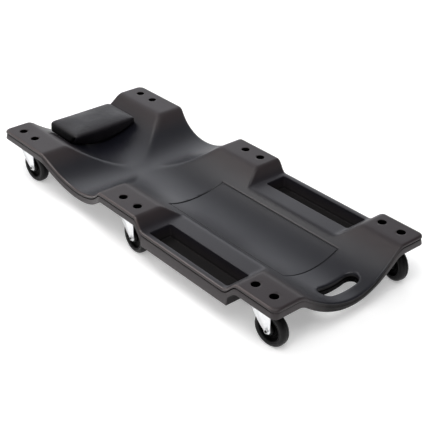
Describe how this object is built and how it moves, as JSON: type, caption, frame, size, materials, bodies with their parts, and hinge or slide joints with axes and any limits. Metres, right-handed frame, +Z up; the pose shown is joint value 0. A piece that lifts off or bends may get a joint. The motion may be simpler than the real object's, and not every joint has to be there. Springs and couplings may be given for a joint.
{
  "type": "mechanic creeper",
  "caption": "Low moulded deck on swivel casters for lying under a vehicle, with a padded headrest, arm scoops, side tool trays and a carry slot at the foot end.",
  "frame": {"origin": "on the floor, under the middle of the deck's length and width", "axes": "+X from the head end to the foot end, +Y towards the right-hand tray seen from the foot end looking to the head, +Z up"},
  "size_m": [1.032, 0.435, 0.12],
  "materials": {
    "deck_plastic": "satin charcoal moulding with a fine grain",
    "black_vinyl": "soft black vinyl with a fine pebble grain",
    "plywood": "bare plywood",
    "plated_steel": "grey plated steel",
    "bright_zinc": "bright zinc plating on pressed sheet",
    "wheel_black": "hard black wheel, satin"
  },
  "bodies": {
    "deck": {"deck": "deck_plastic", "headrest_cushion": "black_vinyl", "headrest_board": "plywood", "headrest_screw_1": "plated_steel", "headrest_screw_2": "plated_steel", "caster_plate_head_left": "bright_zinc", "kingpin_head_left": "plated_steel", "plate_bolt_1_head_left": "plated_steel", "plate_bolt_2_head_left": "plated_steel", "caster_plate_head_right": "bright_zinc", "kingpin_head_right": "plated_steel", "plate_bolt_1_head_right": "plated_steel", "plate_bolt_2_head_right": "plated_steel", "caster_plate_mid_left": "bright_zinc", "kingpin_mid_left": "plated_steel", "plate_bolt_1_mid_left": "plated_steel", "plate_bolt_2_mid_left": "plated_steel", "caster_plate_mid_right": "bright_zinc", "kingpin_mid_right": "plated_steel", "plate_bolt_1_mid_right": "plated_steel", "plate_bolt_2_mid_right": "plated_steel", "caster_plate_foot_left": "bright_zinc", "kingpin_foot_left": "plated_steel", "plate_bolt_1_foot_left": "plated_steel", "plate_bolt_2_foot_left": "plated_steel", "caster_plate_foot_right": "bright_zinc", "kingpin_foot_right": "plated_steel", "plate_bolt_1_foot_right": "plated_steel", "plate_bolt_2_foot_right": "plated_steel"},
    "swivel_head_left": {"swivel_race_head_left": "plated_steel", "fork_head_left": "bright_zinc", "axle_bolt_head_left": "bright_zinc", "axle_nut_head_left": "bright_zinc"},
    "wheel_head_left": {"wheel_head_left": "wheel_black"},
    "swivel_head_right": {"swivel_race_head_right": "plated_steel", "fork_head_right": "bright_zinc", "axle_bolt_head_right": "bright_zinc", "axle_nut_head_right": "bright_zinc"},
    "wheel_head_right": {"wheel_head_right": "wheel_black"},
    "swivel_mid_left": {"swivel_race_mid_left": "plated_steel", "fork_mid_left": "bright_zinc", "axle_bolt_mid_left": "bright_zinc", "axle_nut_mid_left": "bright_zinc"},
    "wheel_mid_left": {"wheel_mid_left": "wheel_black"},
    "swivel_mid_right": {"swivel_race_mid_right": "plated_steel", "fork_mid_right": "bright_zinc", "axle_bolt_mid_right": "bright_zinc", "axle_nut_mid_right": "bright_zinc"},
    "wheel_mid_right": {"wheel_mid_right": "wheel_black"},
    "swivel_foot_left": {"swivel_race_foot_left": "plated_steel", "fork_foot_left": "bright_zinc", "axle_bolt_foot_left": "bright_zinc", "axle_nut_foot_left": "bright_zinc"},
    "wheel_foot_left": {"wheel_foot_left": "wheel_black"},
    "swivel_foot_right": {"swivel_race_foot_right": "plated_steel", "fork_foot_right": "bright_zinc", "axle_bolt_foot_right": "bright_zinc", "axle_nut_foot_right": "bright_zinc"},
    "wheel_foot_right": {"wheel_foot_right": "wheel_black"}
  },
  "joints": [
    {"name": "swivel_head_left", "type": "hinge", "parent": "deck", "child": "swivel_head_left", "pos_m": [-0.446, -0.184, 0.09], "axis": [0, 0, 1], "continuous": true},
    {"name": "roll_head_left", "type": "hinge", "parent": "swivel_head_left", "child": "wheel_head_left", "pos_m": [-0.42508, -0.18217, 0.04], "axis": [-0.0872, 0.9962, 0], "continuous": true},
    {"name": "swivel_head_right", "type": "hinge", "parent": "deck", "child": "swivel_head_right", "pos_m": [-0.446, 0.184, 0.09], "axis": [0, 0, 1], "continuous": true},
    {"name": "roll_head_right", "type": "hinge", "parent": "swivel_head_right", "child": "wheel_head_right", "pos_m": [-0.42501, 0.18473, 0.04], "axis": [-0.0349, 0.9994, 0], "continuous": true},
    {"name": "swivel_mid_left", "type": "hinge", "parent": "deck", "child": "swivel_mid_left", "pos_m": [-0.008, -0.184, 0.09], "axis": [0, 0, 1], "continuous": true},
    {"name": "roll_mid_left", "type": "hinge", "parent": "swivel_mid_left", "child": "wheel_mid_left", "pos_m": [0.01299, -0.18473, 0.04], "axis": [0.0349, 0.9994, 0], "continuous": true},
    {"name": "swivel_mid_right", "type": "hinge", "parent": "deck", "child": "swivel_mid_right", "pos_m": [-0.008, 0.184, 0.09], "axis": [0, 0, 1], "continuous": true},
    {"name": "roll_mid_right", "type": "hinge", "parent": "swivel_mid_right", "child": "wheel_mid_right", "pos_m": [0.01297, 0.1851, 0.04], "axis": [-0.0523, 0.9986, 0], "continuous": true},
    {"name": "swivel_foot_left", "type": "hinge", "parent": "deck", "child": "swivel_foot_left", "pos_m": [0.441, -0.184, 0.09], "axis": [0, 0, 1], "continuous": true},
    {"name": "roll_foot_left", "type": "hinge", "parent": "swivel_foot_left", "child": "wheel_foot_left", "pos_m": [0.46188, -0.1818, 0.04], "axis": [-0.1045, 0.9945, 0], "continuous": true},
    {"name": "swivel_foot_right", "type": "hinge", "parent": "deck", "child": "swivel_foot_right", "pos_m": [0.441, 0.184, 0.09], "axis": [0, 0, 1], "continuous": true},
    {"name": "roll_foot_right", "type": "hinge", "parent": "swivel_foot_right", "child": "wheel_foot_right", "pos_m": [0.46161, 0.17999, 0.04], "axis": [0.1908, 0.9816, 0], "continuous": true}
  ]
}
